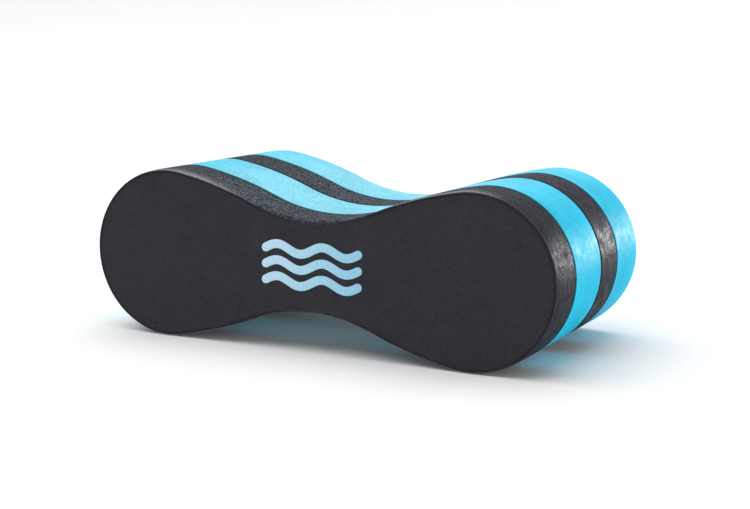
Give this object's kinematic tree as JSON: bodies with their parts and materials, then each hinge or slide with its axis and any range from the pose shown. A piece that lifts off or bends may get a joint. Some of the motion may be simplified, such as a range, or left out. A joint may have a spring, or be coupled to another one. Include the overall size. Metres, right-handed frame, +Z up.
{
  "type": "pull buoy",
  "caption": "Figure-eight foam leg float for swim training, laminated from alternating black and blue slabs, with concave thigh saddles on both sides of its waist.",
  "frame": {"origin": "on the floor under the middle of the buoy, which stands on its two lobes: the centre of the bounding box's bottom", "axes": "+X along the length from lobe to lobe, +Y through the glued layers from the black front face to the blue rear face, +Z up across the waist"},
  "size_m": [0.24, 0.1182, 0.0816],
  "materials": {
    "black_foam": "matte",
    "blue_foam": "matte",
    "glue": "satin",
    "print": "matte"
  },
  "bodies": {
    "root": {"front_slab": "black_foam", "second_slab": "blue_foam", "third_slab": "black_foam", "rear_slab": "blue_foam", "front_glue": "glue", "middle_glue": "glue", "rear_glue": "glue", "wave_mark": "print"}
  },
  "joints": []
}
